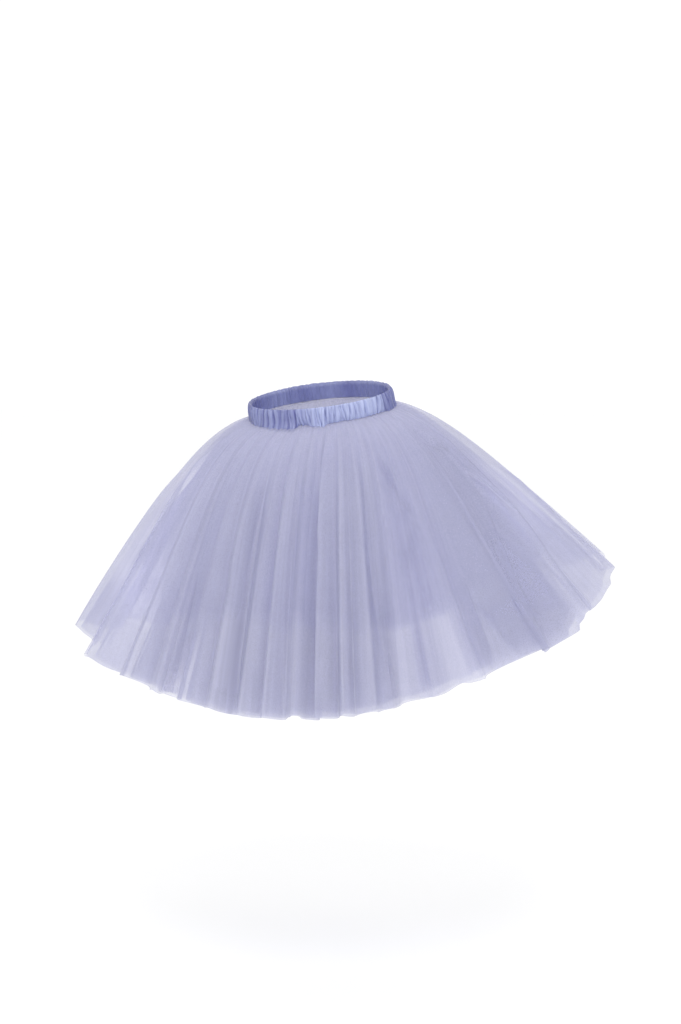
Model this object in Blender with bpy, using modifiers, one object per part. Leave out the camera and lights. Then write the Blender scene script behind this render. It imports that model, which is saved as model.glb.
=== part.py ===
"""Child's ballet tutu: a ruched satin waistband and three layers of tulle, each a front and a back panel.

Metres, +Z up. The front faces -Y and the wearer's left is +X. The origin is the centre of the waist
opening, where the wearer holds the garment up. Azimuths are in degrees round +Z, from 0 at the front
through 90 at the wearer's left side to 180 at the back.
"""

from collections import namedtuple
from math import cos, degrees, exp, floor, pi, radians, sin

import bmesh
import bpy
from mathutils import Matrix, Vector

COLLECTION_NAME = "ballet_tutu"

# Waistband: an elastic in a satin casing, drawn in to the waist
WAIST_HALF_WIDTH = 0.098
WAIST_HALF_DEPTH = 0.077
WAIST_PITCH = 13.6  # the front of the waist sits lower than the back
WAIST_ROLL = 3.0  # the wearer's left hip is raised
BAND_HEIGHT = 0.022
BAND_WALL = 0.0022
GATHER_COUNT = 60
GATHER_RISE = 0.0016
GATHER_UNEVENNESS = 0.45
COLUMNS_PER_GATHER = 4

# Tulle: panels cut as half rings, joined at the sides
TULLE_WALL = 0.0010
SEAM_GAP = 0.0003
BAND_CLEARANCE = 0.0009  # from the band's lower edge to the middle of the outer wall
FLARE_LENGTH = 0.066  # the cloth domes out from the band and turns down over about this length
FOLD_POWER = 0.85  # how early the folds open out below the band
SPREAD_LENGTH = 0.14  # the layers have parted by this far below the band
COLUMNS_PER_FOLD = 6
LEAST_COLUMN = 0.6  # degrees from a side seam to the nearest column of a fold
ROW_COUNT = 6
ROW_POWER = 1.6  # rows lie closer together near the band, where the cloth bends most
PROFILE_STEPS = 48

# How the cloth falls, at even azimuths: its slope below the horizontal in degrees, and the outer
# layer's length from the band to the hem
Fall = namedtuple("Fall", "azimuth at_waist at_hem length")
FALLS = (
    Fall(0, 19, 77, 0.405),
    Fall(45, 18, 75, 0.405),
    Fall(90, 13, 50, 0.390),
    Fall(135, 9, 44, 0.375),
    Fall(180, 17, 67, 0.405),
    Fall(225, 18, 67, 0.395),
    Fall(270, 11, 57, 0.405),
    Fall(315, 14, 67, 0.390),
)

# Folds at the hem: where each stands out and by how much, and the depth of the trough after it
Fold = namedtuple("Fold", "azimuth crest trough")
FOLDS = (
    Fold(0, 0.011, 0.008),
    Fold(7, 0.013, 0.010),
    Fold(16, 0.015, 0.018),
    Fold(26, 0.013, 0.008),
    Fold(32, 0.010, 0.010),
    Fold(39, 0.014, 0.018),
    Fold(50, 0.017, 0.012),
    Fold(62, 0.013, 0.011),
    Fold(75, 0.013, 0.020),
    Fold(89, 0.012, 0.017),
    Fold(107, 0.006, 0.005),
    Fold(127, 0.021, 0.013),
    Fold(142, 0.014, 0.015),
    Fold(158, 0.016, 0.011),
    Fold(173, 0.012, 0.015),
    Fold(188, 0.015, 0.011),
    Fold(200, 0.010, 0.012),
    Fold(210, 0.014, 0.017),
    Fold(224, 0.012, 0.009),
    Fold(233, 0.011, 0.015),
    Fold(245, 0.016, 0.011),
    Fold(258, 0.012, 0.014),
    Fold(273, 0.021, 0.022),
    Fold(307, 0.018, 0.012),
    Fold(322, 0.013, 0.009),
    Fold(331, 0.012, 0.014),
    Fold(341, 0.011, 0.008),
    Fold(349, 0.014, 0.019),
)

# Layers from the outside in: how much shorter than the outer one, how far inside it, share of its folds
Layer = namedtuple("Layer", "name shorter inside_at_waist inside_at_hem fold_share")
LAYERS = (
    Layer("tulle_outer", 0.000, 0.0000, 0.000, 1.00),
    Layer("tulle_middle", 0.012, 0.0014, 0.010, 0.94),
    Layer("tulle_inner", 0.026, 0.0028, 0.020, 0.88),
)
Panel = namedtuple("Panel", "name first_azimuth last_azimuth")
PANELS = (Panel("front", -90.0, 90.0), Panel("back", 90.0, 270.0))

# Finish of each cloth: colour as red, green, blue and roughness
SATIN_COLOUR = (0.25, 0.28, 0.58)
SATIN_ROUGHNESS = 0.35
TULLE_COLOUR = (0.45, 0.46, 0.68)
TULLE_ROUGHNESS = 0.8


def clear_scene():
    for item in list(bpy.data.objects):
        bpy.data.objects.remove(item, do_unlink=True)


def new_collection(name):
    collection = bpy.data.collections.new(name)
    bpy.context.scene.collection.children.link(collection)
    return collection


def cloth_material(name, colour, roughness):
    material = bpy.data.materials.new(name)
    material.use_nodes = True
    shader = material.node_tree.nodes["Principled BSDF"]
    shader.inputs["Base Color"].default_value = (*colour, 1.0)
    shader.inputs["Roughness"].default_value = roughness
    shader.inputs["Metallic"].default_value = 0.0
    return material


def add_object(collection, name, mesh, material):
    mesh.materials.append(material)
    item = bpy.data.objects.new(name, mesh)
    collection.objects.link(item)
    return item


def smooth_step(share):
    share = min(max(share, 0.0), 1.0)
    return share * share * (3.0 - 2.0 * share)


def value_round(table, column, azimuth):
    """A column of an evenly spaced table, read at any azimuth from a smooth curve through its rows."""
    place = (azimuth % 360.0) * len(table) / 360.0
    row = floor(place)
    share = place - row
    before, start, end, after = (getattr(table[(row + k) % len(table)], column) for k in (-1, 0, 1, 2))
    bend_a = end - before
    bend_b = 2.0 * before - 5.0 * start + 4.0 * end - after
    bend_c = 3.0 * (start - end) + after - before
    return start + 0.5 * share * (bend_a + share * (bend_b + share * bend_c))


def fold_height(azimuth):
    """Height of the folds at the hem: smooth waves through the crests and the troughs between them."""
    for number, fold in enumerate(FOLDS):
        following = FOLDS[(number + 1) % len(FOLDS)]
        width = (following.azimuth - fold.azimuth) % 360.0
        share = ((azimuth - fold.azimuth) % 360.0) / width
        if share <= 1.0:
            near_crest = fold.crest if share < 0.5 else following.crest
            wave = 0.5 + 0.5 * cos(2.0 * pi * share)
            return wave * near_crest - (1.0 - wave) * fold.trough
    raise ValueError("no fold at this azimuth")


def waist_tilt():
    return Matrix.Rotation(radians(-WAIST_ROLL), 3, "Y") @ Matrix.Rotation(radians(WAIST_PITCH), 3, "X")


def plan_direction(azimuth):
    """Horizontal way out: halfway between straight from the centre and square to the waist's oval."""
    angle = radians(azimuth)
    straight = Vector((sin(angle), -cos(angle), 0.0))
    square = Vector((sin(angle) / WAIST_HALF_WIDTH, -cos(angle) / WAIST_HALF_DEPTH, 0.0)).normalized()
    return (straight + square).normalized()


def waist_point(azimuth, height, outside):
    """A point of the tilted waist oval, at a height along its axis and a distance outside it."""
    angle = radians(azimuth)
    half_width = WAIST_HALF_WIDTH + outside
    half_depth = WAIST_HALF_DEPTH + outside
    return waist_tilt() @ Vector((half_width * sin(angle), -half_depth * cos(angle), height))


def slope_at(azimuth, distance):
    at_waist = value_round(FALLS, "at_waist", azimuth)
    at_hem = value_round(FALLS, "at_hem", azimuth)
    return radians(at_hem + (at_waist - at_hem) * exp(-distance / FLARE_LENGTH))


def skirt_point(azimuth, way_down, layer):
    """A point in the middle of a layer's wall, a share of the way from the band down to its hem."""
    full_length = value_round(FALLS, "length", azimuth)
    distance = way_down * (full_length - layer.shorter)
    outward = plan_direction(azimuth)
    point = waist_point(azimuth, -0.5 * BAND_HEIGHT - BAND_CLEARANCE, 0.5 * BAND_WALL)
    step = distance / PROFILE_STEPS
    for number in range(PROFILE_STEPS):
        slope = slope_at(azimuth, (number + 0.5) * step)
        point += step * (cos(slope) * outward - sin(slope) * Vector((0.0, 0.0, 1.0)))
    slope = slope_at(azimuth, distance)
    normal = sin(slope) * outward + cos(slope) * Vector((0.0, 0.0, 1.0))
    parted = smooth_step(distance / SPREAD_LENGTH)
    inside = layer.inside_at_waist + (layer.inside_at_hem - layer.inside_at_waist) * parted
    opened = layer.fold_share * (distance / full_length) ** FOLD_POWER
    return point + normal * (opened * fold_height(azimuth) - inside)


def column_azimuths(panel, layer):
    """Azimuths of a panel's columns: both sides of every fold in even steps, and the two side seams."""
    trim = degrees(0.5 * SEAM_GAP / (WAIST_HALF_WIDTH - layer.inside_at_hem))
    first = panel.first_azimuth
    columns = []
    for number, fold in enumerate(FOLDS):
        following = FOLDS[(number + 1) % len(FOLDS)]
        width = (following.azimuth - fold.azimuth) % 360.0
        for step in range(COLUMNS_PER_FOLD):
            azimuth = fold.azimuth + width * step / COLUMNS_PER_FOLD
            columns.append(first + (azimuth - first) % 360.0)
    inside = (a for a in columns if first + LEAST_COLUMN < a < panel.last_azimuth - LEAST_COLUMN)
    return [first + trim, *sorted(inside), panel.last_azimuth - trim]


def add_tulle_panel(collection, layer, panel, material):
    """One panel: an open surface of rows from band to hem, thickened evenly to both sides."""
    azimuths = column_azimuths(panel, layer)
    surface = bmesh.new()
    rows = []
    for row_number in range(ROW_COUNT + 1):
        way_down = (row_number / ROW_COUNT) ** ROW_POWER
        rows.append([surface.verts.new(skirt_point(azimuth, way_down, layer)) for azimuth in azimuths])
    for upper, lower in zip(rows, rows[1:]):
        for column in range(len(azimuths) - 1):
            corners = (upper[column], lower[column], lower[column + 1], upper[column + 1])
            surface.faces.new(corners)
    name = f"{layer.name}_{panel.name}"
    mesh = bpy.data.meshes.new(name)
    surface.to_mesh(mesh)
    surface.free()
    mesh.shade_smooth()
    item = add_object(collection, name, mesh, material)
    wall = item.modifiers.new("wall", "SOLIDIFY")
    wall.thickness = TULLE_WALL
    wall.offset = 0.0
    return item


def gather_rise(azimuth):
    """Rise of the satin's gathers, uneven in height from one to the next."""
    turns = azimuth / 360.0
    ridge = 0.5 + 0.5 * cos(2.0 * pi * GATHER_COUNT * turns)
    uneven = sin(2.0 * pi * 7.0 * turns) * cos(2.0 * pi * 11.0 * turns + 1.0)
    return GATHER_RISE * ridge * (1.0 + GATHER_UNEVENNESS * uneven)


def add_waistband(collection, material):
    """A ring with a plain inside and an outside that swells between its edges and stands up in gathers."""
    # Section of the band from its inner lower edge round the outside: height share, outside, gather share
    section = (
        (-0.5, -0.5 * BAND_WALL, 0.0),
        (-0.5, 0.5 * BAND_WALL, 0.6),
        (0.0, 0.5 * BAND_WALL, 1.0),
        (0.5, 0.5 * BAND_WALL, 0.6),
        (0.5, -0.5 * BAND_WALL, 0.0),
    )
    column_count = GATHER_COUNT * COLUMNS_PER_GATHER
    ring = bmesh.new()
    columns = []
    for number in range(column_count):
        azimuth = 360.0 * number / column_count
        rise = gather_rise(azimuth)
        columns.append([
            ring.verts.new(waist_point(azimuth, share * BAND_HEIGHT, outside + gathered * rise))
            for share, outside, gathered in section
        ])
    for number, column in enumerate(columns):
        following = columns[(number + 1) % column_count]
        for corner in range(len(section)):
            next_corner = (corner + 1) % len(section)
            ring.faces.new((column[corner], following[corner], following[next_corner], column[next_corner]))
    bmesh.ops.recalc_face_normals(ring, faces=ring.faces)
    mesh = bpy.data.meshes.new("waistband")
    ring.to_mesh(mesh)
    ring.free()
    mesh.shade_smooth()
    return add_object(collection, "waistband", mesh, material)


def main():
    clear_scene()
    collection = new_collection(COLLECTION_NAME)
    add_waistband(collection, cloth_material("satin", SATIN_COLOUR, SATIN_ROUGHNESS))
    tulle = cloth_material("tulle", TULLE_COLOUR, TULLE_ROUGHNESS)
    for layer in LAYERS:
        for panel in PANELS:
            add_tulle_panel(collection, layer, panel, tulle)


main()
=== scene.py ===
"""Looks of a child's ballet tutu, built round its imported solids.

Metres, +Z up. The front faces -Y and the wearer's left is +X, as in the part. Azimuths are in degrees
round +Z, from 0 at the front through 90 at the wearer's left side to 180 at the back.
"""

from collections import namedtuple
from math import atan, cos, pi, radians, sin

import bpy
import numpy as np
from mathutils import Matrix, Vector


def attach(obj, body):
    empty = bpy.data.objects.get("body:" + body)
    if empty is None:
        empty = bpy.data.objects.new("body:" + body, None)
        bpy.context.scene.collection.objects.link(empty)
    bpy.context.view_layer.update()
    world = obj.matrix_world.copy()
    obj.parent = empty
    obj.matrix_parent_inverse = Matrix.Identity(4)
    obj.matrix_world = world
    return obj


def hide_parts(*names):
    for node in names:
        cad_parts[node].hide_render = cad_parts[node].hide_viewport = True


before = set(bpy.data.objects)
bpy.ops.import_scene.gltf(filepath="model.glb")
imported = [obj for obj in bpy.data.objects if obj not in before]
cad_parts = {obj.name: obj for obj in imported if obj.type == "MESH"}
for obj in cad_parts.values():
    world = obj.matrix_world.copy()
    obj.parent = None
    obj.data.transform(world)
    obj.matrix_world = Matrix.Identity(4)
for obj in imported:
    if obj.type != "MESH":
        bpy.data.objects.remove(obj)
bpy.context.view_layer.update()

# ---- Sizes shared with the part ----

WAIST_HALF_WIDTH = 0.098
WAIST_HALF_DEPTH = 0.077
WAIST_PITCH = 13.6
WAIST_ROLL = 3.0
BAND_HEIGHT = 0.022
BAND_WALL = 0.0022
BAND_CLEARANCE = 0.0009
FLARE_LENGTH = 0.066
FOLD_POWER = 0.85
SPREAD_LENGTH = 0.14

# How the cloth falls: slope below the horizontal at the band and at the hem, and the outer layer's length
Fall = namedtuple("Fall", "azimuth at_waist at_hem length")
FALLS = (
    Fall(0, 19, 77, 0.405),
    Fall(45, 18, 75, 0.405),
    Fall(90, 13, 50, 0.390),
    Fall(135, 9, 44, 0.375),
    Fall(180, 17, 67, 0.405),
    Fall(225, 18, 67, 0.395),
    Fall(270, 11, 57, 0.405),
    Fall(315, 14, 67, 0.390),
)

# Folds: the part's folds by the azimuths of their crests, with the height of the crest and the depth of the
# following trough at the hem, both a little less than the part's in places. Then how far the crest is laid
# over sideways, as a share of its height, and how far it strays halfway down, in degrees
Fold = namedtuple("Fold", "azimuth crest trough lean strays")
FOLDS = (
    Fold(0, 0.011, 0.006, -0.5, 0.8),
    Fold(7, 0.013, 0.007, -0.3, 0.0),
    Fold(16, 0.015, 0.012, 0.0, -0.6),
    Fold(26, 0.013, 0.006, -1.0, -1.0),
    Fold(32, 0.010, 0.007, -0.3, 0.0),
    Fold(39, 0.014, 0.010, 0.4, -0.8),
    Fold(50, 0.017, 0.009, -0.8, 0.6),
    Fold(62, 0.013, 0.008, -0.4, -1.0),
    Fold(75, 0.013, 0.014, 1.5, -1.2),
    Fold(89, 0.012, 0.017, 1.1, -0.5),
    Fold(107, -0.002, 0.003, 0.0, 0.0),
    Fold(127, 0.016, 0.013, -0.6, 1.0),
    Fold(142, 0.014, 0.015, 1.7, 0.0),
    Fold(158, 0.016, 0.011, -0.6, 0.8),
    Fold(173, 0.012, 0.015, -1.6, -0.8),
    Fold(188, 0.015, 0.011, 0.5, 0.6),
    Fold(200, 0.010, 0.012, 1.8, 0.0),
    Fold(210, 0.014, 0.017, 0.3, -0.7),
    Fold(224, 0.012, 0.009, -1.9, 0.9),
    Fold(233, 0.011, 0.015, -0.4, 0.0),
    Fold(245, 0.016, 0.009, 0.6, -0.9),
    Fold(258, 0.012, 0.008, 0.2, 0.0),
    Fold(273, 0.019, 0.018, 0.0, 0.8),
    Fold(307, 0.016, 0.009, -0.9, 2.0),
    Fold(322, 0.013, 0.007, -0.5, 1.0),
    Fold(331, 0.012, 0.010, 1.0, 0.0),
    Fold(341, 0.010, 0.006, -1.1, 0.6),
    Fold(349, 0.014, 0.005, 0.3, 0.0),
)

# Layers as in the part, then the offset in degrees of their folds, the share of their folds' lean, and the
# seed of their small folds
Layer = namedtuple("Layer", "name shorter inside_at_waist inside_at_hem fold_share offset lean_share seed")
LAYERS = (
    Layer("outer", 0.000, 0.0000, 0.000, 1.00, 0.0, 1.00, 11),
    Layer("middle", 0.012, 0.0014, 0.010, 0.94, 0.8, 0.85, 23),
    Layer("inner", 0.026, 0.0028, 0.020, 0.88, -0.8, 0.70, 37),
)
# How much shorter than the part's outer layer each layer ends, at evenly spaced azimuths
Hem = namedtuple("Hem", "azimuth outer middle inner")
HEMS = (
    Hem(0, 0.0, 0.003, 0.007),
    Hem(45, 0.0, 0.003, 0.010),
    Hem(90, 0.0, 0.004, 0.016),
    Hem(135, 0.0, 0.007, 0.024),
    Hem(180, 0.0, 0.011, 0.028),
    Hem(225, 0.0, 0.014, 0.032),
    Hem(270, 0.0, 0.004, 0.015),
    Hem(315, 0.0, 0.003, 0.006),
)
# Where the hem hangs uneven: azimuths of the left and right edges of the step, how soft each edge is in
# degrees, and how much shorter every layer is between them
HemStep = namedtuple("HemStep", "left right left_soft right_soft shorter")
HEM_STEPS = (
    HemStep(-79, -65, 12.0, 1.5, 0.014),
    HemStep(77, 86.2, 6.0, 0.5, -0.009),
    HemStep(87, 96, 0.6, 8.0, 0.007),
    HemStep(62, 67, 2.0, 1.0, -0.003),
    HemStep(14, 18, 3.0, 1.0, 0.003),
    HemStep(-33, -27, 3.0, 1.0, -0.003),
    HemStep(140, 148, 4.0, 1.0, 0.004),
    HemStep(203, 212, 1.0, 5.0, -0.004),
    HemStep(243, 250, 1.0, 5.0, 0.004),
)
Panel = namedtuple("Panel", "name first_azimuth last_azimuth")
PANELS = (Panel("front", -90.0, 90.0), Panel("back", 90.0, 270.0))

# ---- The tulle's finer form ----

COLUMNS = 640
ROWS = 44
ROW_POWER = 1.3
PROFILE_STEPS = 96

# The cut of each panel: a half ring, its inner edge gathered into the band
CUT_WAIST_RADIUS = 0.111
CUT_HEM = 0.01  # the cut edge of the net, as a share of its length

# Creases: azimuths at the upper end, halfway and at the lower end, then where they start and
# end below the band, half width and height, which is negative for a trough. Those that end past HEM_REACH run
# out over the hem at full height, and so do the patches below
HEM_REACH = 0.41
FADE_IN = 4.0  # creases and patches fade in over a quarter of their length
CREASE_FADE_OUT = 5.0  # and out over a fifth of it
PATCH_FADE_OUT = 8.0  # or an eighth
CREASE_LEAN = 0.7  # how far the creases lean with the fold they lie on, as a share of the fold's lean
Crease = namedtuple("Crease", "upper middle lower start end width height")
CREASES = (
    Crease(-58, -62, -65, 0.09, 0.42, 0.005, 0.004),
    Crease(-62, -66, -71, 0.11, 0.42, 0.007, -0.004),
    Crease(-47, -45, -41, 0.14, 0.42, 0.005, 0.003),
    Crease(-52, -50, -47, 0.07, 0.20, 0.005, 0.004),
    Crease(-36, -35, -33, 0.17, 0.42, 0.009, -0.002),
    Crease(-29, -29, -28, 0.20, 0.42, 0.006, 0.002),
    Crease(-22, -21, -20, 0.22, 0.42, 0.005, -0.002),
    Crease(-5, -6, -5, 0.06, 0.42, 0.004, -0.006),
    Crease(-9, -11, -13, 0.09, 0.24, 0.007, 0.004),
    Crease(2, 2, 3, 0.04, 0.38, 0.003, 0.002),
    Crease(11, 10, 12, 0.02, 0.42, 0.003, 0.002),
    Crease(22.5, 20, 21.5, 0.07, 0.36, 0.003, -0.003),
    Crease(24, 24, 25, 0.03, 0.20, 0.005, 0.003),
    Crease(31, 31, 32, 0.10, 0.42, 0.003, 0.002),
    Crease(36, 37, 37, 0.02, 0.30, 0.004, -0.002),
    Crease(44, 43, 49, 0.06, 0.42, 0.004, -0.005),
    Crease(52, 55, 62, 0.06, 0.18, 0.003, -0.006),
    Crease(62, 57, 54, 0.17, 0.24, 0.003, -0.005),
    Crease(54, 54, 55, 0.23, 0.42, 0.003, 0.004),
    Crease(59, 56, 60, 0.05, 0.18, 0.004, 0.005),
    Crease(63, 64, 66, 0.18, 0.42, 0.004, 0.005),
    Crease(73, 69, 66, 0.24, 0.32, 0.003, 0.004),
    Crease(69, 69, 70, 0.27, 0.40, 0.003, 0.004),
    Crease(72, 72, 73, 0.30, 0.42, 0.004, -0.004),
    Crease(103, 90, 88, 0.04, 0.42, 0.004, 0.006),
    Crease(93, 86, 84, 0.05, 0.42, 0.006, -0.012),
    Crease(115, 115, 115, 0.14, 0.42, 0.018, 0.013),
    Crease(103, 103, 103, 0.18, 0.42, 0.022, -0.005),
    Crease(88, 84, 92, 0.04, 0.11, 0.004, -0.006),
    Crease(96, 98, 99, 0.14, 0.42, 0.006, 0.001),
    Crease(117, 115, 119, 0.14, 0.42, 0.007, -0.005),
    Crease(131, 133, 131, 0.05, 0.42, 0.005, -0.004),
    Crease(146, 143, 148, 0.10, 0.42, 0.006, 0.005),
    Crease(152, 154, 153, 0.18, 0.42, 0.005, -0.004),
    Crease(166, 163, 167, 0.06, 0.42, 0.005, -0.006),
    Crease(178, 181, 179, 0.09, 0.26, 0.006, 0.005),
    Crease(184, 182, 185, 0.20, 0.42, 0.005, 0.004),
    Crease(195, 193, 196, 0.08, 0.42, 0.005, -0.006),
    Crease(207, 210, 206, 0.12, 0.42, 0.006, 0.004),
    Crease(217, 219, 218, 0.06, 0.36, 0.004, -0.005),
    Crease(229, 226, 230, 0.15, 0.42, 0.006, 0.005),
    Crease(240, 238, 241, 0.09, 0.42, 0.005, -0.006),
    Crease(252, 255, 251, 0.11, 0.30, 0.006, 0.005),
    Crease(265, 262, 266, 0.18, 0.42, 0.006, -0.004),
    Crease(281, 278, 279, 0.10, 0.42, 0.005, 0.004),
)

# Where the layers named by their initials lie doubled, or hang opened out: azimuths of the left and right
# edges at the upper end, halfway and at the lower end, where they start and end below the band, how soft each
# edge is in degrees, and the change in how much of the view the net covers, as a share
Patch = namedtuple("Patch", "layers left right start end left_soft right_soft change")
PATCHES = (
    # Right flank, opened out, and its laid-over edge
    Patch("m", (-120, -120, -120), (-51, -48, -40), 0.05, 0.335, 6.0, 0.6, -0.94),
    Patch("i", (-120, -120, -120), (-47, -45, -40), 0.26, 0.42, 6.0, 0.6, -0.94),
    Patch("o", (-110, -108, -108), (-90, -90, -90), 0.10, 0.42, 5.0, 3.0, -0.70),
    Patch("o", (-96, -96, -96), (-72, -72, -72), 0.03, 0.42, 5.0, 5.0, 0.20),
    Patch("om", (-62, -64, -65), (-52, -53, -54), 0.12, 0.42, 3.0, 3.0, -0.32),
    Patch("o", (-54, -54, -54), (-38, -38, -38), 0.29, 0.42, 3.0, 3.0, 0.65),
    # Front, from the wearer's right to left
    Patch("omi", (-42, -44, -40), (46, 48, 47), 0.02, 0.42, 10.0, 8.0, 0.32),
    Patch("mi", (-23, -26, -31), (-20, -20, -19), 0.29, 0.42, 0.5, 0.5, -0.50),
    Patch("o", (-24, -26, -29), (-17, -17, -17), 0.28, 0.42, 1.0, 1.0, -0.30),
    Patch("o", (-11, -11, -11), (-4, -4, -4), 0.26, 0.38, 3.0, 3.0, 0.30),
    Patch("o", (-26, -24, -22), (-6, -6, -6), 0.27, 0.42, 4.0, 1.0, 0.35),
    Patch("o", (-15.6, -14.6, -12.8), (-14.6, -13.6, -11.8), 0.30, 0.42, 0.2, 0.2, 0.50),
    Patch("omi", (-22, -18, -15), (-5, -5, -4), 0.10, 0.38, 7.0, 0.5, 0.15),
    Patch("omi", (-5, -5, -5), (3, 4, 4), 0.04, 0.29, 0.5, 3.0, -0.20),
    Patch("o", (-4, -7, -7), (4, 3, 3), 0.03, 0.42, 0.4, 5.0, 0.30),
    Patch("om", (4, 5, 5), (11, 10, 12), 0.03, 0.42, 3.0, 0.5, 0.15),
    Patch("omi", (13, 13, 13), (20, 18, 18), 0.06, 0.29, 3.0, 0.5, -0.30),
    Patch("omi", (22, 21, 21), (31, 31, 31), 0.03, 0.30, 0.5, 4.0, -0.20),
    Patch("o", (23.5, 24, 24.5), (38, 38, 39), 0.05, 0.40, 0.4, 6.0, 0.45),
    Patch("o", (43, 43, 43), (50, 49, 49), 0.04, 0.30, 0.5, 3.0, 0.30),
    Patch("omi", (52, 53, 54), (60, 61, 60), 0.12, 0.31, 3.0, 3.0, -0.20),
    Patch("mi", (55, 54.7, 54.6), (57, 57, 57), 0.26, 0.395, 0.4, 0.4, 0.60),
    Patch("mi", (57.5, 59.5, 60.5), (60.5, 64, 65.5), 0.20, 0.42, 0.4, 0.4, -0.15),
    Patch("mi", (61, 64, 65.5), (80, 79, 77), 0.14, 0.405, 0.4, 3.0, 0.55),
    Patch("o", (69, 69.3, 69.5), (73, 73, 73), 0.27, 0.42, 0.4, 3.0, 0.40),
    Patch("o", (69, 71.5, 73.5), (76, 76, 76), 0.30, 0.42, 0.4, 3.0, -0.35),
    Patch("o", (68, 68, 68), (87, 87, 87), 0.33, 0.42, 4.0, 1.0, 0.45),
    Patch("o", (72, 74, 75), (91, 88.5, 87), 0.03, 0.42, 6.0, 0.4, 0.10),
    Patch("m", (68, 70, 72), (92, 89.5, 88), 0.03, 0.42, 8.0, 0.4, 0.90),
    Patch("i", (68, 70, 72), (93, 90.5, 88.5), 0.03, 0.42, 8.0, 0.4, 1.00),
    # Left flank, opened out
    Patch("m", (92, 89.5, 88), (136, 135, 134), 0.14, 0.28, 0.4, 6.0, -0.84),
    Patch("i", (93, 90.5, 88.5), (136, 135, 134), 0.18, 0.42, 0.4, 6.0, -0.70),
    Patch("o", (81, 81, 81), (86, 86, 86), 0.22, 0.365, 3.0, 1.0, -0.35),
    Patch("o", (87, 87, 85.5), (116, 116, 116), 0.26, 0.42, 1.0, 4.0, 0.55),
    Patch("o", (100, 100, 100), (140, 140, 140), 0.04, 0.30, 5.0, 5.0, 0.20),
    # Back
    Patch("omi", (145, 148, 144), (208, 206, 210), 0.02, 0.42, 9.0, 10.0, 0.25),
    Patch("m", (158, 159, 158), (166, 163, 167), 0.08, 0.42, 3.0, 0.6, 0.25),
    Patch("omi", (184, 182, 185), (193, 192, 194), 0.10, 0.42, 0.6, 4.0, -0.25),
    Patch("om", (207, 209, 206), (217, 218, 218), 0.06, 0.42, 4.0, 0.6, 0.25),
    Patch("mi", (229, 227, 230), (238, 237, 239), 0.12, 0.42, 0.6, 2.0, -0.30),
)

# Small folds that fall between the creases, different in each layer
SMALL_FOLDS = 44
SMALL_FOLD_START = (0.01, 0.24)
SMALL_FOLD_LENGTH = (0.08, 0.30)
SMALL_FOLD_WIDTH = (0.003, 0.009)
SMALL_FOLD_HEIGHT = (-0.0016, 0.0016)
SMALL_FOLD_SWAY = 2.5  # degrees
SMALL_FOLD_SHIFT = 0.4  # how far each may stray from its even place, as a share of their spacing

# Fine gathers where the band draws the cloth in
GATHER_SPACING = 4.0  # degrees
GATHER_HEIGHT = 0.0008
GATHER_RISE = 0.012  # they swell to their full height over about this length
GATHER_AT_BAND = 0.35  # how far up that rise they are at the band itself
GATHER_FADE = 0.040  # how soon they fade again
GATHER_SEED = 5

# Small waves of the hem
HEM_UNEVENNESS = 0.0012
HEM_WAVE_SPACING = 9.0  # degrees

# Gathers and waves draw their widths and heights between these shares of their usual ones
WAVE_WIDTHS = (0.5, 1.5)
WAVE_HEIGHTS = (0.4, 1.0)

# How much closer the net looks where it is bunched: in full gathers, in troughs as a share of that, and at
# the side seams
BUNCHED_DENSER = 0.14
TROUGH_SHARE = 0.5
FULL_TROUGH = 0.015  # how deep a trough is that counts in full
CREASE_TROUGH = 2.0  # creases count this many times as much as the folds in it
SEAM_DENSER = 0.6

# Seams
SEAM_TRIM = 0.02  # degrees that each panel stops short of its side seams
SEAM_WIDTH = 0.45  # degrees of doubled cloth beside them
SEAM_TUCKED = 0.004  # how much of each panel is sewn in between the casing's walls
SEAM_HEIGHT = 0.0030  # how high that reaches above the elastic's lower edge
SEAM_OUTSIDE = 0.0004
SEAM_SPACING = 0.35  # the layers' spacing there, as a share of their spacing below the band

# ---- The waistband ----

CASING_COLUMNS = 2160
CASING_SECTION = 27  # points from the upper to the lower edge
CASING_CUT = (0.78, 0.048)
CASING_WALL = 0.0006
CASING_LEAST = 0.0004  # how far the valleys stand off the elastic's middle
CASING_SWELL = 0.0008  # how much further off they stand halfway between its edges
CASING_FULLNESS = 0.5  # power: the lower, the sooner the casing is full beside its edges

# Ruches: large puffs and the crumples between them
PUFFS = 74
PUFF_SEED = 3
PUFF_SHARE = 0.7
PUFF_RISE = 0.0008  # how far the puffs stand past the elastic's upper and lower edges
PUFF_INSIDE = 0.0011  # how far they stand in at the inside
CRUMPLES = 111
CRUMPLE_SEED = 8
CRUMPLE_SHARE = 0.4
RUCHE_HEIGHT = 0.0054
RUCHE_AT_EDGES = 0.35  # share of their height that is left at the casing's edges
RUCHE_ROUNDNESS = 0.7
RUCHE_SLANT = 3.2  # degrees that a ruche may wander between its two ends
RUCHE_WIDTHS = (0.35, 1.65)
RUCHE_HEIGHTS = (0.35, 1.0)
FRILL_SPREAD = 1.9  # how far out the hanging edge lies on the net, against how far it drops
FRILL_OUT_POWER = 5  # powers: the higher, the nearer to the edge the hanging begins, outwards
FRILL_DOWN_POWER = 4  # and down
# Painted shade: the satin is painted darker down in the valleys between the ruches, and inside the casing
VALLEY_PAINTED_SHADE = 0.57  # how much less pale the satin is down between its ruches than on their tops
VALLEY_RISE = 0.8  # share of a full ruche at which the valleys end

# The casing's inside, from its upper edge down: share of the band's height, and how far in it lies as a share
# of the walls
INSIDE_ROWS = (
    (0.02, 0.35),
    (0.10, 1.0),
    (0.25, 1.0),
    (0.4, 1.0),
    (0.6, 1.0),
    (0.75, 1.0),
    (0.9, 1.0),
    (1.0, 0.85),
)
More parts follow.
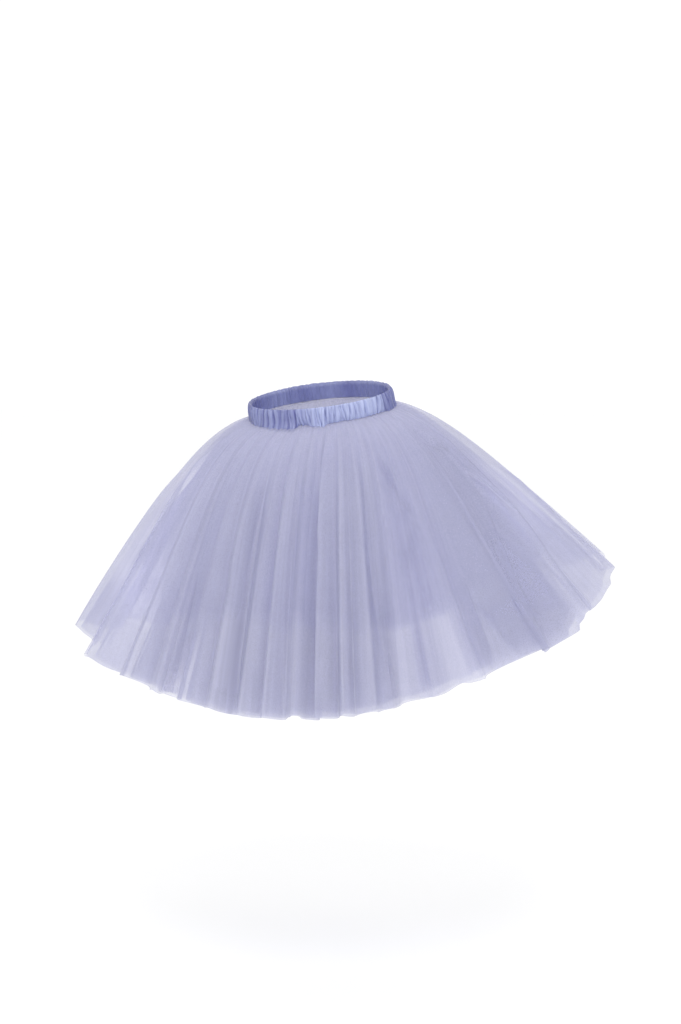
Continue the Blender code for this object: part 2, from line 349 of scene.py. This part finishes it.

# How far the casing's lower edge hangs below the elastic, how slack it is, and how pale its satin is painted,
# as painted light on the lit stretches of the band and painted shade on the shaded ones, at the azimuths
# where these change
Drop = namedtuple("Drop", "azimuth drop slack tone")
DROPS = (
    Drop(-70, 0.0010, 0.9, 0.12),
    Drop(-45, 0.0020, 1.1, 0.40),
    Drop(-25, 0.0036, 1.1, 0.46),
    Drop(-8, 0.0055, 1.2, 0.42),
    Drop(0, 0.0060, 1.1, 0.34),
    Drop(1, 0.0000, 0.9, 0.86),
    Drop(8, 0.0000, 1.0, 0.88),
    Drop(14, 0.0026, 1.2, 0.92),
    Drop(20, 0.0036, 1.2, 0.98),
    Drop(25, 0.0006, 1.0, 1.02),
    Drop(36, 0.0000, 0.7, 1.18),
    Drop(50, 0.0006, 0.8, 1.24),
    Drop(62, 0.0004, 1.1, 1.22),
    Drop(76, 0.0006, 1.1, 0.76),
    Drop(84, 0.0020, 1.0, 0.22),
    Drop(95, 0.0024, 1.0, 0.20),
    Drop(120, 0.0028, 0.9, 0.30),
    Drop(150, 0.0008, 1.1, 0.55),
    Drop(175, 0.0026, 0.8, 0.36),
    Drop(190, 0.0004, 1.0, 0.60),
    Drop(215, 0.0018, 1.1, 0.42),
    Drop(240, 0.0002, 0.7, 0.62),
    Drop(265, 0.0022, 1.0, 0.34),
)

# ---- Finishes ----

NET_FIBRE = (0.535, 0.540, 0.675, 1.0)
NET_TINT = (0.965, 0.965, 1.0, 1.0)
NET_COVER = 0.40  # share of the view that one plain layer covers
NET_CELL = 0.0013  # the width of one of its holes
THREAD_EDGE = 3.2  # how sharply the threads stand out of the cells
THREAD_COVER = (0.28, 0.90)  # what a thread covers beyond a cell, and what a cell covers, as factors
HEM_COVER = 0.06  # what the cut edge adds
STREAK_SCALE = (150.0, 3.0, 1.0)  # how many fit round the skirt, and in a metre down it
STREAK_CONTRAST = 0.26
CLOUD_SCALE = 14.0  # how many fit in a metre of the cut
CLOUD_CONTRAST = 0.24
# Fine light and dark lines along the fall, painted into the fibres' colour: painted sheen and shade of small
# fold edges
PAINTED_LINE_SCALE = (520.0, 3.5, 1.0)  # as with the streaks
PAINTED_LINE_CONTRAST = 0.22
NET_THROUGH = 0.45  # share of the fibres' light that goes through them
GATHERED_THROUGH = -0.35  # how that changes in full gathers

# The satin's colour painted in shade and painted in full light; its painted light and shade blend between
# them
SATIN_SHADED = (0.12, 0.132, 0.335, 1.0)
SATIN_LIT = (0.395, 0.44, 0.68, 1.0)
WEAVE_SCALE = 900.0
CRUMPLE_SCALE = (420.0, 34.0, 1.0)  # how many fit in a metre round the casing, and across it
MOTTLE_SCALE = 90.0
MOTTLE_CONTRAST = 0.16

# ---- Stage, light and camera ----

CAMERA_AZIMUTH = 25.0
CAMERA_DISTANCE = 3.0
CAMERA_HEIGHT = 0.043
CAMERA_ASIDE = 0.027
HORIZON_ROW = 371.0  # the camera's own height in the picture, in its pixels
PICTURE_HEIGHT = 1024.0
FOCAL_PIXELS = 2222.0
SENSOR = 36.0
FLOOR_LEVEL = -0.82
FLOOR_SIZE = 40.0  # from the middle to each edge
FLOOR_COLOUR = (0.93, 0.93, 0.93, 1.0)
STUDIO_STRENGTH = 1.08
KEY_PLACE = (1.5, -2.95, 2.2)
KEY_TARGET = (0.0, 0.0, -0.15)
KEY_SIZE = 1.1
KEY_POWER = 48.0
SEEN_THROUGH = 96  # see-through surfaces that one line of sight may cross

UP = np.array((0.0, 0.0, 1.0))


def smooth_step(share):
    """0 below a share of 0 and 1 above 1, with a soft rise between."""
    share = np.clip(share, 0.0, 1.0)
    return share * share * (3.0 - 2.0 * share)


def value_round(table, column, azimuths):
    """A column of an evenly spaced table, read at any azimuths from a smooth curve through its rows."""
    values = np.array([getattr(row, column) for row in table], dtype=float)
    place = (azimuths % 360.0) * len(table) / 360.0
    row = np.floor(place).astype(int)
    share = place - row
    before, start, end, after = (values[(row + k) % len(table)] for k in (-1, 0, 1, 2))
    bend_a = end - before
    bend_b = 2.0 * before - 5.0 * start + 4.0 * end - after
    bend_c = 3.0 * (start - end) + after - before
    return start + 0.5 * share * (bend_a + share * (bend_b + share * bend_c))


def plan_direction(azimuths):
    """Horizontal way out: halfway between straight from the centre and square to the waist's oval."""
    angle = np.radians(azimuths)
    straight = np.stack([np.sin(angle), -np.cos(angle)], -1)
    square = straight / (WAIST_HALF_WIDTH, WAIST_HALF_DEPTH)
    square /= np.linalg.norm(square, axis=-1, keepdims=True)
    outward = straight + square
    outward /= np.linalg.norm(outward, axis=-1, keepdims=True)
    return np.concatenate([outward, np.zeros_like(outward[..., :1])], -1)


def waist_points(azimuths, heights, outsides):
    """Points of the tilted waist oval, at heights along its axis and distances outside it."""
    angle = np.radians(azimuths)
    tilt = Matrix.Rotation(radians(-WAIST_ROLL), 3, "Y") @ Matrix.Rotation(radians(WAIST_PITCH), 3, "X")
    level = np.stack(np.broadcast_arrays(
        (WAIST_HALF_WIDTH + outsides) * np.sin(angle),
        -(WAIST_HALF_DEPTH + outsides) * np.cos(angle),
        heights,
    ), -1)
    return level @ np.array(tilt).T


def fold_wave(azimuths, way_down, offset):
    """Height at the hem and lean of the folds, for one row of the cloth."""
    strays = np.array([fold.strays for fold in FOLDS]) * sin(pi * way_down)
    centres = np.array([fold.azimuth for fold in FOLDS]) + strays + offset * way_down
    crests, troughs, leans = (
        np.array([getattr(fold, column) for fold in FOLDS]) for column in ("crest", "trough", "lean")
    )
    turned = (azimuths - centres[0]) % 360.0
    starts = centres - centres[0]
    place = np.searchsorted(starts, turned, side="right") - 1
    following = (place + 1) % len(FOLDS)
    widths = (starts[following] - starts[place]) % 360.0
    share = (turned - starts[place]) / widths
    near_crest = np.where(share < 0.5, crests[place], crests[following])
    wave = 0.5 + 0.5 * np.cos(2.0 * pi * share)
    height = wave * near_crest - (1.0 - wave) * troughs[place]
    blend = smooth_step(share)
    lean = leans[place] * (1.0 - blend) + leans[following] * blend
    return height, lean


def track(upper, middle, lower, along):
    """Azimuths of a curve through three azimuths: at its upper end, halfway and at its lower end."""
    t = np.clip(along, 0.0, 1.0)
    return upper * (1.0 - t) * (1.0 - 2.0 * t) + middle * 4.0 * t * (1.0 - t) + lower * t * (2.0 * t - 1.0)


def between(azimuths, left, right, left_soft, right_soft):
    """1 between two azimuths and 0 outside them, over edges that are soft by some degrees."""
    aside = (azimuths - 0.5 * (left + right) + 180.0) % 360.0 - 180.0
    half = 0.5 * (right - left)
    return smooth_step((aside + half) / left_soft + 0.5) * smooth_step((half - aside) / right_soft + 0.5)


def fade_at_ends(along, fade_out, end):
    """1 along a crease or patch and 0 beyond its ends, except where it runs out over the hem."""
    return smooth_step(along * FADE_IN) * smooth_step((1.0 - along) * fade_out + (end > HEM_REACH))


def patch_share(azimuths, distances, patch):
    """1 inside a patch and 0 outside it."""
    along = (distances - patch.start) / (patch.end - patch.start)
    left, right = track(*patch.left, along), track(*patch.right, along)
    fade = fade_at_ends(along, PATCH_FADE_OUT, patch.end)
    return fade * between(azimuths, left, right, patch.left_soft, patch.right_soft)


def ridge(azimuths, distances, radii, crease):
    """Height of one crease at every point: a soft ridge or trough that fades at both ends."""
    along = (distances - crease.start) / (crease.end - crease.start)
    path = track(crease.upper, crease.middle, crease.lower, along)
    aside = (azimuths - path + 180.0) % 360.0 - 180.0
    across = np.radians(aside) * radii / crease.width
    return crease.height * np.exp(-across * across) * fade_at_ends(along, CREASE_FADE_OUT, crease.end)


def small_folds(layer):
    """A layer's own small folds, scattered evenly round it."""
    chance = np.random.default_rng(layer.seed)
    folds = []
    for number in range(SMALL_FOLDS):
        azimuth = 360.0 * (number + chance.uniform(-SMALL_FOLD_SHIFT, SMALL_FOLD_SHIFT)) / SMALL_FOLDS
        start = chance.uniform(*SMALL_FOLD_START)
        end = start + chance.uniform(*SMALL_FOLD_LENGTH)
        sway = chance.uniform(-SMALL_FOLD_SWAY, SMALL_FOLD_SWAY, 2)
        width = chance.uniform(*SMALL_FOLD_WIDTH)
        height = chance.uniform(*SMALL_FOLD_HEIGHT)
        folds.append(Crease(azimuth, azimuth + sway[0], azimuth + sway[1], start, end, width, height))
    return folds


def uneven_waves(azimuths, spacing, seed):
    """Waves of uneven width and height round the skirt, between -1 and 1."""
    chance = np.random.default_rng(seed)
    count = round(360.0 / spacing)
    edges = np.cumsum(chance.uniform(*WAVE_WIDTHS, count))
    edges = np.concatenate([[0.0], edges]) * 360.0 / edges[-1]
    heights = chance.uniform(*WAVE_HEIGHTS, count)
    place = np.clip(np.searchsorted(edges, azimuths % 360.0, side="right") - 1, 0, count - 1)
    share = (azimuths % 360.0 - edges[place]) / (edges[place + 1] - edges[place])
    return heights[place] * np.sin(2.0 * pi * share)


def hem_distance(layer, azimuths):
    """How far below the band a layer's hem lies, before its small waves."""
    shorter = value_round(HEMS, layer.name, azimuths)
    for step in HEM_STEPS:
        shorter = shorter + step.shorter * between(azimuths, *step[:-1])
    return value_round(FALLS, "length", azimuths) - shorter


def slope_at(azimuths, distances):
    """How steeply the cloth falls, in radians below the horizontal."""
    at_waist = value_round(FALLS, "at_waist", azimuths)
    at_hem = value_round(FALLS, "at_hem", azimuths)
    return np.radians(at_hem + (at_waist - at_hem) * np.exp(-distances / FLARE_LENGTH))


def smooth_fall(azimuths, distances):
    """Points of the cloth as it would fall without folds."""
    full_length = value_round(FALLS, "length", azimuths)
    steps = (np.arange(PROFILE_STEPS) + 0.5)[:, None] / PROFILE_STEPS
    slopes = slope_at(azimuths, steps * full_length)
    zero = np.zeros((1, len(azimuths)))
    reach = np.concatenate([zero, np.cumsum(np.cos(slopes), 0)]) * full_length / PROFILE_STEPS
    sink = np.concatenate([zero, np.cumsum(np.sin(slopes), 0)]) * full_length / PROFILE_STEPS
    place = distances / full_length * PROFILE_STEPS
    step = np.clip(np.floor(place).astype(int), 0, PROFILE_STEPS - 1)
    part = place - step
    column = np.broadcast_to(np.arange(len(azimuths)), step.shape)
    out = reach[step, column] * (1.0 - part) + reach[step + 1, column] * part
    down = sink[step, column] * (1.0 - part) + sink[step + 1, column] * part
    start = waist_points(azimuths, -0.5 * BAND_HEIGHT - BAND_CLEARANCE, 0.5 * BAND_WALL)
    return start + out[..., None] * plan_direction(azimuths) - down[..., None] * UP


def layer_depth(layer, distances):
    """How far inside the outer layer a layer lies."""
    parted = smooth_step(distances / SPREAD_LENGTH)
    return layer.inside_at_waist + (layer.inside_at_hem - layer.inside_at_waist) * parted


def large_folds(layer, azimuths, distances, way_down):
    """Height and lean of a layer's large folds."""
    full_length = value_round(FALLS, "length", azimuths)
    opened = layer.fold_share * (distances / full_length) ** FOLD_POWER
    waves = [fold_wave(azimuths, row, layer.offset) for row in way_down[:, 0]]
    heights, leans = (np.stack(rows) for rows in zip(*waves))
    return opened * heights, layer.lean_share * leans


def fine_folds(layer, azimuths, distances, radii):
    """Height of a layer's creases and small folds."""
    height = np.zeros_like(distances)
    for crease in CREASES:
        height += layer.fold_share * ridge(azimuths, distances, radii, crease)
    for crease in small_folds(layer):
        height += ridge(azimuths, distances, radii, crease)
    return height


def net_bunching(layer, panel, azimuths, distances, trough, gathered):
    """How closely the net is bunched, against plain net."""
    bunching = 1.0 + BUNCHED_DENSER * np.clip(gathered + TROUGH_SHARE * trough, 0.0, 1.0)
    beside_seam = np.minimum(azimuths - panel.first_azimuth, panel.last_azimuth - azimuths)
    bunching = bunching * (1.0 + SEAM_DENSER * (1.0 - smooth_step(beside_seam / SEAM_WIDTH)))
    for patch in PATCHES:
        if layer.name[0] in patch.layers:
            bunching = bunching * (1.0 + patch.change * patch_share(azimuths, distances, patch))
    return bunching


def flat_points(angle, radii):
    """Points on the flat half ring of the cut."""
    return np.stack([radii * np.sin(angle), -radii * np.cos(angle)], -1)


def tulle_grid(layer, panel):
    """Points of one panel, rows from the band to the hem, with what its mesh says at each of them."""
    azimuths = np.linspace(panel.first_azimuth + SEAM_TRIM, panel.last_azimuth - SEAM_TRIM, COLUMNS + 1)
    way_down = np.linspace(0.0, 1.0, ROWS + 1)[:, None] ** ROW_POWER
    hem_wave = HEM_UNEVENNESS * uneven_waves(azimuths, HEM_WAVE_SPACING, layer.seed + 1)
    distances = way_down * (hem_distance(layer, azimuths) + hem_wave * way_down)

    # The cloth's form
    points = smooth_fall(azimuths, distances)
    radii = np.linalg.norm(points[..., :2], axis=-1)
    outward = plan_direction(azimuths)
    slope = slope_at(azimuths, distances)
    normal = np.sin(slope)[..., None] * outward + np.cos(slope)[..., None] * UP
    sideways = np.stack([-outward[..., 1], outward[..., 0], outward[..., 2]], -1)
    fold, lean = large_folds(layer, azimuths, distances, way_down)
    fine = fine_folds(layer, azimuths, distances, radii)
    gathered = np.exp(-distances / GATHER_FADE) * smooth_step(distances / GATHER_RISE + GATHER_AT_BAND)
    gathers = GATHER_HEIGHT * gathered * uneven_waves(azimuths, GATHER_SPACING, GATHER_SEED)
    height = fold + fine + gathers - layer_depth(layer, distances)
    points = points + height[..., None] * normal + (lean * (fold + CREASE_LEAN * fine))[..., None] * sideways

    # Where each point lies on the flat cut and down the skirt, and how closely the net is bunched there
    angle = np.radians(azimuths - 0.5 * (panel.first_azimuth + panel.last_azimuth))
    flat = flat_points(angle, CUT_WAIST_RADIUS + distances)
    strip = np.stack(np.broadcast_arrays(azimuths / 360.0, distances), -1)
    trough = np.clip(-(fold + CREASE_TROUGH * fine) / FULL_TROUGH, 0.0, 1.0)
    bunching = net_bunching(layer, panel, azimuths, distances, trough, gathered)
    hem = np.broadcast_to(smooth_step((way_down - 1.0 + CUT_HEM) / CUT_HEM), distances.shape)

    # The upper edge, sewn in between the casing's walls
    outside = SEAM_OUTSIDE - SEAM_SPACING * layer.inside_at_waist
    tucked = waist_points(azimuths, SEAM_HEIGHT - 0.5 * BAND_HEIGHT, outside)
    tucked_flat = flat_points(angle, CUT_WAIST_RADIUS - SEAM_TUCKED)
    tucked_strip = strip[0] - (0.0, SEAM_TUCKED)
    return (
        np.concatenate([tucked[None], points]),
        np.concatenate([tucked_flat[None], flat]),
        np.concatenate([tucked_strip[None], strip]),
        {
            "bunching": np.concatenate([bunching[:1], bunching]),
            "hem": np.concatenate([hem[:1], hem]),
            "gathered": np.concatenate([gathered[:1], gathered]),
        },
    )


def add_grid(name, points, material, closed=False):
    """A mesh of quads through rows and columns of points."""
    rows, columns = points.shape[:2]
    number = np.arange(rows * columns).reshape(rows, columns)
    right = np.roll(number, -1, 1) if closed else number[:, 1:]
    left = number if closed else number[:, :-1]
    faces = np.stack([left[:-1], left[1:], right[1:], right[:-1]], -1).reshape(-1, 4)
    mesh = bpy.data.meshes.new(name)
    mesh.from_pydata(points.reshape(-1, 3).tolist(), [], faces.tolist())
    mesh.shade_smooth()
    mesh.materials.append(material)
    item = bpy.data.objects.new(name, mesh)
    bpy.context.scene.collection.objects.link(item)
    return item


def add_uv(mesh, name, values):
    """A UV map from a pair of values at each point."""
    corner = np.empty(len(mesh.loops), dtype=np.int32)
    mesh.loops.foreach_get("vertex_index", corner)
    layer = mesh.uv_layers.new(name=name)
    layer.uv.foreach_set("vector", values.reshape(-1, 2)[corner].astype(np.float32).ravel())


def add_value(mesh, name, values):
    """An attribute from a value at each point."""
    attribute = mesh.attributes.new(name, "FLOAT", "POINT")
    attribute.data.foreach_set("value", values.astype(np.float32).ravel())


def add_tulle(layer, panel, material):
    points, flat, strip, values = tulle_grid(layer, panel)
    item = add_grid(f"net_{layer.name}_{panel.name}", points, material)
    add_uv(item.data, "cut", flat)
    add_uv(item.data, "fall", strip)
    for name, value in values.items():
        add_value(item.data, name, value)
    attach(item, "root")
    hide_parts(f"tulle_{layer.name}_{panel.name}")


def ruches(azimuths, share, seed, count):
    """Ruches of the casing at one share of its height: 0 in the valleys to 1 on the fullest puffs."""
    chance = np.random.default_rng(seed)
    edges = np.cumsum(chance.uniform(*RUCHE_WIDTHS, count))
    edges = np.concatenate([[0.0], edges]) * 360.0 / edges[-1]
    heights = chance.uniform(*RUCHE_HEIGHTS, count)
    tops = chance.uniform(-RUCHE_SLANT, RUCHE_SLANT, count)
    bends = chance.uniform(-RUCHE_SLANT, RUCHE_SLANT, count)
    middles = 0.5 * (edges[1:] + edges[:-1])
    wander = tops * (share - 0.5) + bends * (4.0 * share * (1.0 - share) - 0.5) * 0.5
    turned = (azimuths + np.interp(azimuths, middles, wander, period=360.0)) % 360.0
    place = np.clip(np.searchsorted(edges, turned, side="right") - 1, 0, count - 1)
    part = (turned - edges[place]) / (edges[place + 1] - edges[place])
    return heights[place] * np.clip(np.sin(pi * part), 0.0, 1.0) ** RUCHE_ROUNDNESS


def drops_at(azimuths):
    """Drop, slack and painted light and shade of the casing, read between the rows of their table."""
    turned = (azimuths - DROPS[0].azimuth) % 360.0
    places = [row.azimuth - DROPS[0].azimuth for row in DROPS]
    return (
        np.interp(turned, places, [getattr(row, column) for row in DROPS], period=360.0)
        for column in ("drop", "slack", "tone")
    )


def casing_grid():
    """The ruched satin casing: from the elastic's lower edge up its inside, over it and down its outside."""
    azimuths = np.arange(CASING_COLUMNS) * 360.0 / CASING_COLUMNS
    drop, slack, tone = drops_at(azimuths)
    rows, painted_lighting_rows = [], []
    for share, inset in reversed(INSIDE_ROWS):
        puff = ruches(azimuths, share, PUFF_SEED, PUFFS)
        outside = 0.5 * BAND_WALL - inset * (BAND_WALL + CASING_WALL) - inset * PUFF_INSIDE * puff
        rows.append(waist_points(azimuths, 0.5 * BAND_HEIGHT - share * BAND_HEIGHT, outside))
        # Painted shade inside the casing, half as dark as down in the valleys
        painted_lighting_rows.append(tone - 0.5 * VALLEY_PAINTED_SHADE)
    for share in np.linspace(0.0, 1.0, CASING_SECTION):
        puff = slack * ruches(azimuths, share, PUFF_SEED, PUFFS)
        crumple = slack * ruches(azimuths, share, CRUMPLE_SEED, CRUMPLES)
        bulge = PUFF_SHARE * puff + CRUMPLE_SHARE * crumple
        swell = sin(pi * share) ** CASING_FULLNESS
        ruche = RUCHE_HEIGHT * bulge * (RUCHE_AT_EDGES + (1.0 - RUCHE_AT_EDGES) * swell)
        frill = FRILL_SPREAD * drop * share**FRILL_OUT_POWER
        outside = CASING_LEAST + CASING_SWELL * swell + ruche + frill
        full_height = BAND_HEIGHT + 2.0 * PUFF_RISE * puff
        hanging = drop * share**FRILL_DOWN_POWER
        height = 0.5 * BAND_HEIGHT + PUFF_RISE * puff - share * full_height - hanging
        rows.append(waist_points(azimuths, height, outside))
        # Painted shade down in the valleys between the ruches, fading out up their sides
        painted_lighting_rows.append(tone - VALLEY_PAINTED_SHADE * (1.0 - smooth_step(bulge / VALLEY_RISE)))
    return np.stack(rows), np.stack(painted_lighting_rows)


def add_casing(material):
    points, tone = casing_grid()
    item = add_grid("satin_casing", points, material, closed=True)
    rows, columns = points.shape[:2]
    around = np.broadcast_to(np.arange(columns) * CASING_CUT[0] / columns, (rows, columns))
    down = np.broadcast_to(np.arange(rows)[:, None] * CASING_CUT[1] / rows, (rows, columns))
    add_uv(item.data, "cloth", np.stack([around, down], -1))
    # The painted light and shade, which the satin's colour reads
    add_value(item.data, "tone", tone)
    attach(item, "root")
    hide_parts("waistband")


# ---- Materials ----


class Nodes:
    """Small helper for writing a material's nodes as nested calls."""

    def __init__(self, name):
        self.material = bpy.data.materials.new(name)
        self.material.use_nodes = True
        self.tree = self.material.node_tree
        self.tree.nodes.clear()

    def add(self, kind, inputs=None, output=0, **settings):
        """One output of a new node, whose inputs are values or other nodes' outputs."""
        node = self.tree.nodes.new(kind)
        for key, value in settings.items():
            setattr(node, key, value)
        for key, value in (inputs or {}).items():
            socket = node.inputs[key]
            if isinstance(value, bpy.types.NodeSocket):
                self.tree.links.new(value, socket)
            else:
                socket.default_value = value
        return node.outputs[output]

    def attribute(self, name):
        return self.add("ShaderNodeAttribute", output="Fac", attribute_name=name)

    def math(self, operation, first, second=0.0, third=0.0, clamp=False):
        inputs = {0: first, 1: second, 2: third}
        return self.add("ShaderNodeMath", inputs, operation=operation, use_clamp=clamp)

    def noise(self, vector, scale, detail, **settings):
        """Noise stretched by three scales, or by one in every direction."""
        if isinstance(scale, tuple):
            vector = self.add("ShaderNodeMapping", {"Vector": vector, "Scale": scale})
            scale = 1.0
        inputs = {"Vector": vector, "Scale": scale, "Detail": detail, **settings}
        return self.add("ShaderNodeTexNoise", inputs)

    def vary(self, noise, contrast):
        """A factor that varies round 1 with a noise."""
        return self.math("MULTIPLY_ADD", noise, contrast, 1.0 - 0.5 * contrast)

    def finish(self, shader):
        output = self.tree.nodes.new("ShaderNodeOutputMaterial")
        self.tree.links.new(shader, output.inputs["Surface"])
        return self.material


def tulle_material():
    nodes = Nodes("soft_tulle")
    cut = nodes.add("ShaderNodeUVMap", uv_map="cut")
    fall = nodes.add("ShaderNodeUVMap", uv_map="fall")

    # How much of the view the net covers
    cells = {"Vector": cut, "Scale": 1.0 / NET_CELL}
    inside_cell = nodes.add("ShaderNodeTexVoronoi", cells, feature="DISTANCE_TO_EDGE")
    thread = nodes.math("SUBTRACT", 1.0, nodes.math("MULTIPLY", inside_cell, THREAD_EDGE, clamp=True))
    streaks = nodes.noise(fall, STREAK_SCALE, 3.0, Roughness=0.6)
    clouds = nodes.noise(cut, CLOUD_SCALE, 2.0)
    cover = nodes.math("MULTIPLY", nodes.attribute("bunching"), NET_COVER)
    cover = nodes.math("MULTIPLY", cover, nodes.vary(streaks, STREAK_CONTRAST))
    cover = nodes.math("MULTIPLY", cover, nodes.vary(clouds, CLOUD_CONTRAST))
    cover = nodes.math("MULTIPLY", cover, nodes.math("MULTIPLY_ADD", thread, *THREAD_COVER))
    cover = nodes.math("MULTIPLY_ADD", nodes.attribute("hem"), HEM_COVER, cover, clamp=True)

    # The fibres, lit from outside and from within the skirt
    # Painted sheen and shade of small fold edges, as light and dark lines in the fibres' colour
    painted_lines = nodes.noise(fall, PAINTED_LINE_SCALE, 2.0, Roughness=0.5)
    shade = nodes.vary(painted_lines, PAINTED_LINE_CONTRAST)
    yarn_with_painted_lines = nodes.add("ShaderNodeVectorMath", {0: NET_FIBRE[:3], 3: shade}, operation="SCALE")
    fibre = nodes.add("ShaderNodeBsdfPrincipled", {
        "Base Color": yarn_with_painted_lines,
        "Roughness": 0.65,
        "Sheen Weight": 0.1,
        "Sheen Roughness": 0.4,
    })
    glow = nodes.add("ShaderNodeBsdfTranslucent", {"Color": yarn_with_painted_lines})
    through = nodes.math("MULTIPLY_ADD", nodes.attribute("gathered"), GATHERED_THROUGH, NET_THROUGH)
    lit = nodes.add("ShaderNodeMixShader", {0: through, 1: fibre, 2: glow})
    clear = nodes.add("ShaderNodeBsdfTransparent", {"Color": NET_TINT})
    return nodes.finish(nodes.add("ShaderNodeMixShader", {0: cover, 1: clear, 2: lit}))


def satin_material():
    nodes = Nodes("ruched_satin")
    cloth = nodes.add("ShaderNodeUVMap", uv_map="cloth")

    # Colour: painted light on the tops of the ruches and on the lit stretches of the band, painted shade in
    # the valleys, inside the casing and on the shaded stretches, with a random mottle over it
    mottle = nodes.noise(cloth, MOTTLE_SCALE, 2.0)
    # How far towards the painted light, with a random mottle
    middle = nodes.math("SUBTRACT", nodes.attribute("tone"), 0.5 * MOTTLE_CONTRAST)
    pale = nodes.math("MULTIPLY_ADD", mottle, MOTTLE_CONTRAST, middle, clamp=True)
    colours = {"Factor": pale, 6: SATIN_SHADED, 7: SATIN_LIT}
    painted_colour = nodes.add("ShaderNodeMix", colours, output=2, data_type="RGBA")

    # Relief: the satin's weave, and crumples finer than the ruches
    bands = {"Vector": cloth, "Scale": WEAVE_SCALE, "Distortion": 0.6}
    weave = nodes.add("ShaderNodeTexWave", bands, output="Fac", wave_type="BANDS", bands_direction="DIAGONAL")
    crumple = nodes.noise(cloth, CRUMPLE_SCALE, 2.0, Distortion=0.4)
    relief = nodes.add("ShaderNodeBump", {"Height": weave, "Strength": 0.08, "Distance": 0.0002})
    relief = nodes.add("ShaderNodeBump", {
        "Height": crumple,
        "Strength": 1.0,
        "Distance": 0.0024,
        "Normal": relief,
    })
    satin = nodes.add("ShaderNodeBsdfPrincipled", {
        "Base Color": painted_colour,
        "Roughness": 0.28,
        "Specular IOR Level": 0.6,
        "Sheen Weight": 0.04,
        "Sheen Roughness": 0.3,
        "Normal": relief,
    })
    return nodes.finish(satin)


def stage_material():
    nodes = Nodes("pale_floor")
    return nodes.finish(nodes.add("ShaderNodeBsdfDiffuse", {"Color": FLOOR_COLOUR}))


# ---- Stage, light and camera ----


def add_stage():
    corners = [(x * FLOOR_SIZE, y * FLOOR_SIZE, FLOOR_LEVEL) for x, y in ((-1, -1), (1, -1), (1, 1), (-1, 1))]
    mesh = bpy.data.meshes.new("floor")
    mesh.from_pydata(corners, [], [(0, 1, 2, 3)])
    mesh.materials.append(stage_material())
    floor = bpy.data.objects.new("floor", mesh)
    bpy.context.scene.collection.objects.link(floor)


def add_area_light(name, place, target, size, power):
    light = bpy.data.lights.new(name, "AREA")
    light.shape = "DISK"
    light.size = size
    light.energy = power
    item = bpy.data.objects.new(name, light)
    item.location = place
    item.rotation_euler = (Vector(target) - Vector(place)).to_track_quat("-Z", "Y").to_euler()
    bpy.context.scene.collection.objects.link(item)


def add_light():
    world = bpy.data.worlds.new("studio")
    bpy.context.scene.world = world
    world.use_nodes = True
    background = world.node_tree.nodes["Background"]
    background.inputs["Color"].default_value = (1.0, 1.0, 1.0, 1.0)
    background.inputs["Strength"].default_value = STUDIO_STRENGTH
    add_area_light("key", KEY_PLACE, KEY_TARGET, KEY_SIZE, KEY_POWER)


def add_camera():
    angle = radians(CAMERA_AZIMUTH)
    ahead = Vector((-sin(angle), cos(angle), 0.0))
    right = Vector((cos(angle), sin(angle), 0.0))
    camera = bpy.data.cameras.new("camera")
    camera.sensor_width = SENSOR
    camera.lens = FOCAL_PIXELS * SENSOR / PICTURE_HEIGHT
    item = bpy.data.objects.new("camera", camera)
    item.location = -CAMERA_DISTANCE * ahead + CAMERA_ASIDE * right + Vector((0.0, 0.0, CAMERA_HEIGHT))
    pitch = atan((0.5 * PICTURE_HEIGHT - HORIZON_ROW) / FOCAL_PIXELS)
    item.rotation_euler = (0.5 * pi - pitch, 0.0, angle)
    bpy.context.scene.collection.objects.link(item)
    bpy.context.scene.camera = item


def main():
    scene = bpy.context.scene
    scene.view_settings.view_transform = "Standard"
    scene.cycles.transparent_max_bounces = SEEN_THROUGH
    add_stage()
    add_light()
    add_camera()
    add_casing(satin_material())
    tulle = tulle_material()
    for layer in LAYERS:
        for panel in PANELS:
            add_tulle(layer, panel, tulle)


main()
